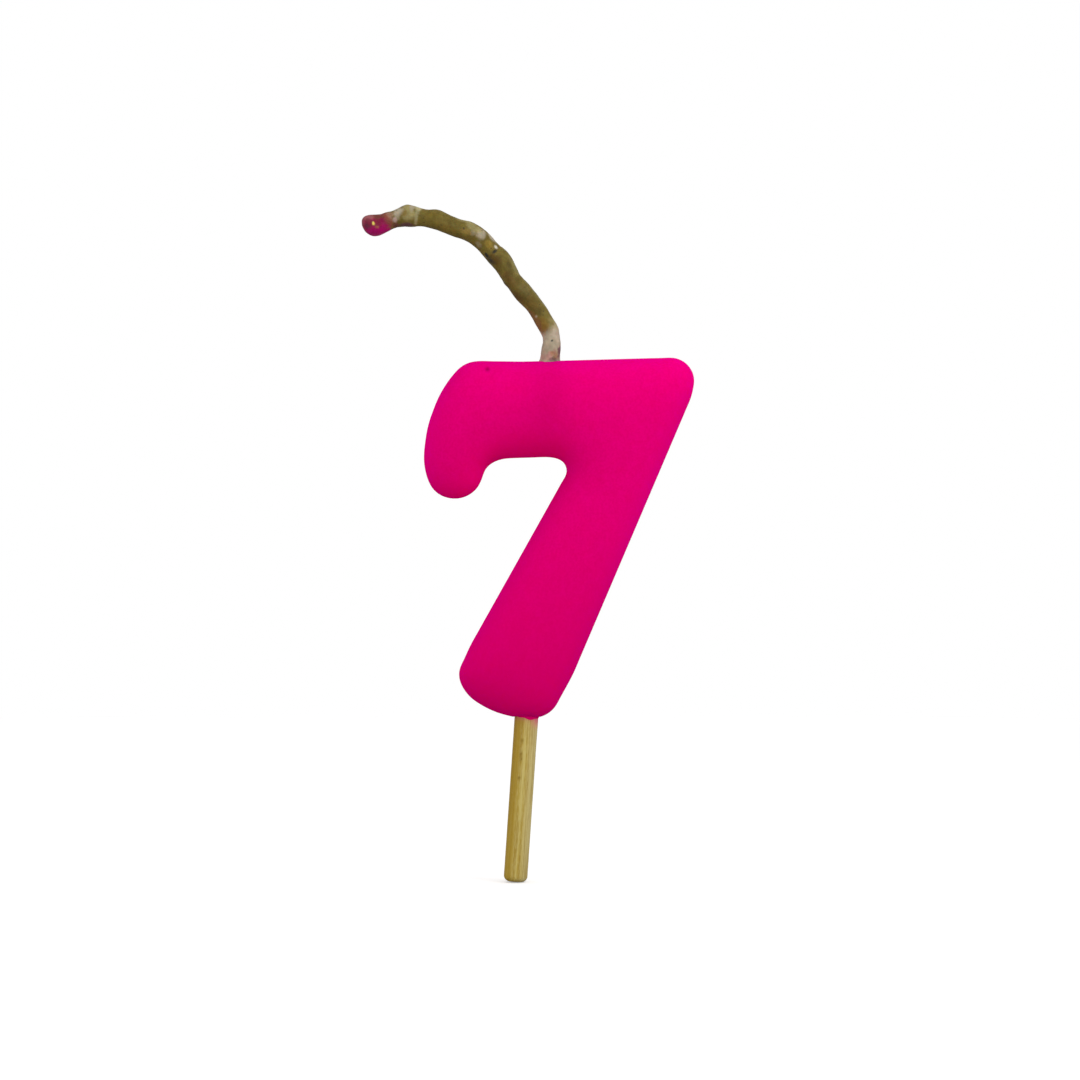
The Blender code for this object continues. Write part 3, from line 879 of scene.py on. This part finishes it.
def blown_film(points, triangles, rim):
    """The height, from 0 to 1, of a film blown up over the outline, at each of a flat mesh's points.

    It is the CAD's film on a finer mesh: the screened Poisson equation, by finite
    elements and conjugate gradients, with the first rim points held at 0.
    """
    count = len(points)
    area = np.zeros(count)
    starts, ends, weights = [], [], []
    for turn in range(3):
        a, b, c = (triangles[:, (turn + k) % 3] for k in range(3))
        to_b, to_c = points[b] - points[a], points[c] - points[a]
        doubled = np.abs(to_b[:, 0] * to_c[:, 1] - to_b[:, 1] * to_c[:, 0])
        starts.append(b)
        ends.append(c)
        weights.append((to_b * to_c).sum(1) / doubled / 2)
        area += np.bincount(a, doubled / 6, count)
    start, end, weight = (np.concatenate(part) for part in (starts, ends, weights))
    whole = np.bincount(start, weight, count) + np.bincount(end, weight, count)
    whole += area * FACE_FLATNESS

    def pulled(height):
        pull = whole * height
        pull -= np.bincount(start, weight * height[end], count)
        pull -= np.bincount(end, weight * height[start], count)
        pull[:rim] = 0
        return pull

    height = np.zeros(count)
    left = area.copy()
    left[:rim] = 0
    ahead = left / whole
    size = left @ ahead
    for _ in range(FILM_ROUNDS):
        pull = pulled(ahead)
        step = size / (ahead @ pull)
        height += step * ahead
        left -= step * pull
        eased = left / whole
        before, size = size, left @ eased
        ahead = eased + size / before * ahead
        ahead[:rim] = 0
    return height / height.max()


def numeral_surface():
    """The whole 7: a face blown up like a cushion over the outline, and the same again behind."""
    rings = inset_rings(closed_spline(waist_line(), OUTLINE_STEP))
    rim = len(rings[0])
    flat = np.concatenate([*rings, face_points(rings[-1])])
    triangles = face_triangles(rings, flat[rim * len(rings):])
    depth = BODY_THICKNESS / 2 * np.sqrt(np.maximum(blown_film(flat, triangles, rim), 0))
    sides = []
    for side in (-1, 1):
        points = np.stack([flat[:, 0], side * depth, flat[:, 1]], axis=1)
        dents = noise_at(points, 5.0, 2 + side) + 0.5 * noise_at(points, 1.8, 5 + side)
        points[:, 1] += UNEVENNESS * dents * np.minimum(1, depth / 2)
        sides.append(points)
    pit = np.linalg.norm(flat - PIT_PLACE, axis=1) / PIT_RADIUS
    sides[0][:, 1] += PIT_DEPTH * np.exp(-pit**2)
    points = np.concatenate([sides[0], sides[1][rim:]])
    behind = np.where(triangles < rim, triangles, triangles + len(flat) - rim)
    return points, triangles.tolist() + behind.tolist()


def bored(obj, *cutters):
    """Cuts the cutters out of the object, and removes them."""
    for cutter in cutters:
        modifier = obj.modifiers.new(cutter.name, "BOOLEAN")
        modifier.solver = "EXACT"
        modifier.object = cutter
    graph = bpy.context.evaluated_depsgraph_get()
    mesh = bpy.data.meshes.new_from_object(obj.evaluated_get(graph))
    obj.modifiers.clear()
    obj.data = mesh
    mesh.name = obj.name
    for cutter in cutters:
        bpy.data.objects.remove(cutter)


def bore_cutter(name, start, end, radius):
    """A plain rod from start to end, two points in millimetres."""
    route = Path([start, end])
    rings = route.rings(np.array((0.0, route.end)), turns_round(48), radius)
    return make_object(name, *loft(rings, poles=(start, end)))


def pink_look(name, scatter=0.7):
    """Pigmented wax: matt and velvety, faintly mottled, with light scattered inside it."""
    look = Look(
        name,
        Roughness=0.6,
        Specular_IOR_Level=PINK_SPECULAR,
        Subsurface_Weight=scatter,
        Subsurface_Scale=0.0022,
        Subsurface_Radius=(1.0, 0.1, 0.35),
    )
    clouds = look.maths("MULTIPLY", look.noise(1.5, 2.0), 0.25)
    speckle = look.maths("MULTIPLY", look.noise(0.3, 3.0), 0.75)
    mottle = look.maths("ADD", clouds, speckle)
    colour = look.ramp(mottle, (0.36, PINK_DEEP), (0.5, PINK), (0.64, PINK_PALE))
    # Painted light: a brighter pink on the rims.
    colour = look.mix(look.value("rim"), colour, PINK_PAINTED_RIM_GLOW)
    # Painted shade: darker and redder pink towards the foot.
    colour = look.mix(look.value("foot"), colour, PINK_FOOT_SHADE)
    # Painted shade hue: redder and less blue where the faces turn down.
    colour = look.mix(look.value("under"), colour, PINK_UNDER_SHADE)
    shade = look.maths("MULTIPLY", look.value("shade"), WICK_SHADE)
    look.coloured(look.mix(shade, colour, PINK_SHADE))
    look.relief(mottle, PINK_RELIEF)
    return look.material


def paint_pinks(body, foot):
    """Marks painted shade and light on the numeral's pink: shade over the buried wick and in the pit,
    glow on the rims, shade at the foot and a shade hue where it faces down. The foot is the wick's.
    """
    points = points_of(body)
    down = -stick_axis(1.0)
    away = (points - foot) * (1, 0, 1)
    along = away @ down
    beside = np.linalg.norm(away - along[:, None] * down, axis=1)
    shade = np.exp(-((beside / WICK_SHADE_WIDTH) ** 2))
    shade *= smoothstep(-0.5, 2.0, along) * smoothstep(WICK_BURIED + 3, WICK_BURIED - 4, along)
    pit = np.linalg.norm(points[:, [0, 2]] - PIT_PLACE, axis=1) / PIT_RADIUS
    shade += PIT_SHADE * np.exp(-pit**2) * (points[:, 1] < 0)
    paint(body, "shade", shade)
    facing = np.empty(len(points) * 3)
    body.data.vertices.foreach_get("normal", facing)
    _, front, up = facing.reshape(-1, 3).T
    # Painted light: brighter pink where the faces turn sideways away from the front, and not up.
    paint(body, "rim", PAINTED_RIM_GLOW * (1 - np.abs(front)) * smoothstep(0.6, 0.0, up))
    # Painted shade: darker and redder pink towards the foot.
    paint(body, "foot", FOOT_SHADE * smoothstep(*FOOT_SHADE_FADE, points[:, 2]))
    # Painted shade hue: redder and less blue pink where the faces turn down.
    paint(body, "under", UNDER_SHADE_HUE * smoothstep(0.1, 0.9, -up))


def make_numeral():
    body = make_object("numeral", *numeral_surface())
    mouth = stick_axis(STICK_EXPOSED - CUTTER_OVERRUN)
    end = stick_axis(STICK_EXPOSED + STICK_BURIED + SOCKET_GAP)
    socket = bore_cutter("socket_cutter", mouth, end, STICK_RADIUS + SOCKET_GAP)
    foot = np.array(WICK_ROUTE[0])
    mouth = foot + stick_axis(CUTTER_OVERRUN)
    end = foot - stick_axis(WICK_BURIED + SOCKET_GAP)
    channel = bore_cutter("channel_cutter", mouth, end, CORE_RADIUS + SOCKET_GAP)
    bored(body, socket, channel)
    paint_pinks(body, foot)
    finish_piece(body, pink_look("pink_wax"), "pink_wax", "numeral_body")


# The stick and its seal.


def bamboo_look():
    """Split bamboo: long fibre streaks, a darker ochre left side of painted shade, a paler right side
    of painted light, pores, and a smear of pink wax on top.
    """
    look = Look("bamboo", Specular_IOR_Level=0.12)
    fibres = look.noise(0.13, 5.0, look.place((1.0, 1.0, 0.018), -STICK_LEAN))
    bands = look.noise(0.45, 2.0, look.place((1.0, 1.0, 0.012), -STICK_LEAN))
    grain = look.noise(0.14, 3.0, look.place((1.0, 1.0, 0.18), -STICK_LEAN))
    straw, tan, ochre = srgb(206, 186, 106), srgb(192, 166, 78), srgb(172, 140, 44)
    colour = look.ramp(bands, (0.32, ochre), (0.48, tan), (0.68, straw))
    # The pale right side is painted light.
    colour = look.mix(look.value("pale"), colour, srgb(207, 192, 134))
    colour = look.mix(look.ranged(fibres, 0.52, 0.42, 0.0, 0.55), colour, srgb(156, 121, 34))
    colour = look.mix(look.ranged(grain, 0.4, 0.65, 0.0, 0.3), colour, srgb(216, 202, 134))
    # The ochre left side is painted shade.
    colour = look.mix(look.value("ochre"), colour, srgb(178, 144, 42))
    colour = look.mix(look.value("pore"), colour, srgb(126, 96, 30))
    look.coloured(look.mix(look.value("smear"), colour, srgb(226, 120, 132)))
    look.roughened(look.ranged(fibres, 0.3, 0.7, 0.72, 0.5))
    look.relief(look.maths("ADD", fibres, look.maths("MULTIPLY", grain, 0.5)), 0.05)
    return look.material


def stick_path():
    return Path([stick_axis(0.0), stick_axis(STICK_EXPOSED + STICK_BURIED)])


def stick_profile(end):
    """Distances along the stick and its plain radius at each, from the bottom end to the top."""
    core = STICK_RADIUS - STICK_EDGE
    quarter = np.linspace(0, math.pi / 2, 7)
    bare = np.linspace(STICK_EDGE, STICK_EXPOSED + 0.5, STICK_RINGS + 1)[1:]
    buried = np.linspace(STICK_EXPOSED + 1.5, end - 0.6, BURIED_RINGS)
    edge = STICK_EDGE * (1 - np.cos(quarter))
    along = np.concatenate([np.zeros(3), edge, bare, buried, [end, end]])
    radius = np.concatenate([
        core * np.array((0.3, 0.6, 0.85)),
        core + STICK_EDGE * np.sin(quarter),
        np.full(STICK_RINGS + BURIED_RINGS, STICK_RADIUS),
        [STICK_RADIUS - 0.6, 0.4],
    ])
    return along, radius


def pores_at(along, turns):
    """How deep in a pore each point is, from 0 to 1."""
    pores = np.zeros((len(along), len(turns)))
    for place, turn, length, width in PORES:
        reach = np.hypot((along[:, None] - place) / length, apart(turns[None], turn) / width)
        pores = np.maximum(pores, np.exp(-(reach**2)))
    return pores


def paint_stick(stick, along, turns, ragged, pores):
    """Marks the stick's ochre left side of painted shade, pale right side of painted light, pores and
    the wax smeared on it.
    """
    turned = turns[None] + 0 * along[:, None]
    # Painted shade: the left side darker and ochre, as the light falls from the right.
    ochre = 0.7 * smoothstep(8, -14, turned + 20 + 0.5 * ragged) * smoothstep(-190, -140, turned)
    # Painted light: the right side paler.
    pale = 0.75 * smoothstep(2, 50, turned + ragged) * smoothstep(170, 120, turned)
    high = smoothstep(STICK_EXPOSED - SMEAR_LENGTH, STICK_EXPOSED - 0.3, along)[:, None]
    smear = high * smoothstep(75, 20, apart(turned, SMEAR_TURN) + 2 * ragged)
    smear = 0.75 * smear + 0.3 * smoothstep(STICK_EXPOSED - 0.7, STICK_EXPOSED, along)[:, None]
    for name, values in (("ochre", ochre), ("pale", pale), ("pore", 0.8 * pores), ("smear", smear)):
        paint(stick, name, np.append(values.ravel(), (0.0, 0.0)))


def make_stick():
    path = stick_path()
    turns = turns_round(STICK_SIDES)
    along, radius = stick_profile(path.end)
    core = STICK_RADIUS - STICK_EDGE
    plain = path.rings(along, turns, radius[:, None])
    stretched = plain * FIBRE_STRETCH
    fibres = noise_at(stretched, 0.28, 1) + 0.6 * noise_at(stretched, 0.11, 2)
    ridged = smoothstep(core - 0.2, STICK_RADIUS, radius)[:, None]
    pores = pores_at(along, turns)
    depth = radius[:, None] + FIBRE_RELIEF * fibres * ridged - PORE_DEPTH * pores
    rings = path.rings(along, turns, depth)
    end = (radius < core + 0.01)[:, None] & (along[:, None] < 0.01)
    rings[..., 2] += np.where(end, END_ROUGHNESS * np.abs(noise_at(plain, 0.3, 6)), 0)
    points, faces = loft(rings, poles=(stick_axis(0.03), stick_axis(path.end)))
    stick = make_object("stick", points, faces)
    paint_stick(stick, along, turns, 14 * noise_at(stretched, 0.5, 8), pores)
    finish_piece(stick, bamboo_look(), "bamboo", "bamboo_stick")


def lip_ring(path, along, turns, radius):
    """A ring round the stick whose points each have their own distance along it."""
    middle, front, upper = path.centres(along)
    angle = np.radians(turns)[:, None]
    return middle + (np.cos(angle) * front + np.sin(angle) * upper) * radius


def make_lip():
    """The ragged bead of wax that seals the stick under the numeral's foot."""
    path = stick_path()
    turns = turns_round(STICK_SIDES)
    angle = np.radians(turns)
    droop = 0.14 * np.cos(angle - math.radians(35)) + 0.09 * np.cos(3 * angle + 1.0)
    droop += 0.05 * np.sin(7 * angle)
    droop += 0.30 * np.exp(-((apart(turns, 30) / 26) ** 2))
    top = STICK_EXPOSED + LIP_COVER
    low = STICK_EXPOSED - LIP_HEIGHT - droop + 0.2
    rings = []
    for share in np.linspace(0, 1, 13):
        bulge = math.sin(math.pi * min(1.0, 0.12 + 0.62 * share))
        rings.append(lip_ring(path, low + (top - low) * share, turns, LIP_BORE + LIP_REACH * bulge))
    for share in np.linspace(1, 0, 5):
        rings.append(lip_ring(path, low + (top - low) * share, turns, LIP_BORE))
    points, faces = loft(np.array(rings), wrap=True)
    lip = make_object("stick_seal", points, faces)
    # The seal gets the full painted shade of the foot and most of the painted shade hue of downward
    # faces, but no painted rim glow or wick shade.
    for name, value in (("shade", 0.0), ("rim", 0.0), ("foot", 1.0), ("under", 0.8)):
        paint(lip, name, np.full(len(points), value))
    finish_piece(lip, pink_look("seal_wax", 0.1), "seal_wax", "stick_seal_lip")


# The room.


def make_light(name, place, aim, size, watts):
    data = bpy.data.lights.new(name, "AREA")
    data.shape = "DISK"
    data.size = size * MM
    data.energy = watts
    light = bpy.data.objects.new(name, data)
    light.location = Vector(place) * MM
    light.rotation_euler = (Vector(aim) - Vector(place)).to_track_quat("-Z", "Y").to_euler()
    light.visible_camera = False
    bpy.context.scene.collection.objects.link(light)


def make_room():
    """A white room, dimmer as a light than as a backdrop."""
    world = bpy.data.worlds.new("room")
    bpy.context.scene.world = world
    world.use_nodes = True
    nodes, links = world.node_tree.nodes, world.node_tree.links
    lighting = nodes["Background"]
    lighting.inputs["Strength"].default_value = ROOM_LIGHT
    backdrop = nodes.new("ShaderNodeBackground")
    for background in (lighting, backdrop):
        background.inputs["Color"].default_value = (1.0, 1.0, 1.0, 1.0)
    seen = nodes.new("ShaderNodeLightPath").outputs["Is Camera Ray"]
    mix = nodes.new("ShaderNodeMixShader")
    links.new(seen, mix.inputs[0])
    links.new(lighting.outputs[0], mix.inputs[1])
    links.new(backdrop.outputs[0], mix.inputs[2])
    links.new(mix.outputs[0], nodes["World Output"].inputs["Surface"])


def floor_look():
    """White board that fades into the room, and bounces less light than it shows."""
    material = bpy.data.materials.new("pale_floor")
    material.use_nodes = True
    nodes, links = material.node_tree.nodes, material.node_tree.links
    nodes.remove(nodes["Principled BSDF"])
    board = nodes.new("ShaderNodeBsdfDiffuse")
    board.inputs["Color"].default_value = (*FLOOR_COLOUR, 1.0)
    glow = nodes.new("ShaderNodeEmission")
    glow.inputs["Strength"].default_value = FLOOR_LIFT
    shown = nodes.new("ShaderNodeAddShader")
    links.new(board.outputs[0], shown.inputs[0])
    links.new(glow.outputs[0], shown.inputs[1])
    dim = nodes.new("ShaderNodeBsdfDiffuse")
    dim.inputs["Color"].default_value = (*FLOOR_BOUNCE, 1.0)
    seen = nodes.new("ShaderNodeMixShader")
    links.new(nodes.new("ShaderNodeLightPath").outputs["Is Camera Ray"], seen.inputs[0])
    links.new(dim.outputs[0], seen.inputs[1])
    links.new(shown.outputs[0], seen.inputs[2])
    radius = nodes.new("ShaderNodeVectorMath")
    radius.operation = "LENGTH"
    links.new(nodes.new("ShaderNodeTexCoord").outputs["Object"], radius.inputs[0])
    fade = nodes.new("ShaderNodeMapRange")
    fade.interpolation_type = "SMOOTHSTEP"
    fade.inputs["From Min"].default_value = FLOOR_FADE * MM
    fade.inputs["From Max"].default_value = FLOOR_RADIUS * MM
    links.new(radius.outputs["Value"], fade.inputs["Value"])
    final = nodes.new("ShaderNodeMixShader")
    links.new(fade.outputs["Result"], final.inputs[0])
    links.new(seen.outputs[0], final.inputs[1])
    links.new(nodes.new("ShaderNodeBsdfTransparent").outputs[0], final.inputs[2])
    links.new(final.outputs[0], nodes["Material Output"].inputs["Surface"])
    return material


def make_floor():
    turns = np.arange(FLOOR_SIDES) * 2 * math.pi / FLOOR_SIDES
    rim = np.stack([np.cos(turns), np.sin(turns), 0 * turns], axis=1) * FLOOR_RADIUS
    rim[:, 2] = cad_low.z / MM - FLOOR_GAP
    floor = make_object("floor", rim, [tuple(range(len(rim)))])
    floor.data.materials.append(floor_look())


make_camera()
make_wick()
make_numeral()
make_stick()
make_lip()
make_room()
make_floor()
for light in LIGHTS:
    make_light(*light)
bpy.context.scene.view_settings.view_transform = "Standard"
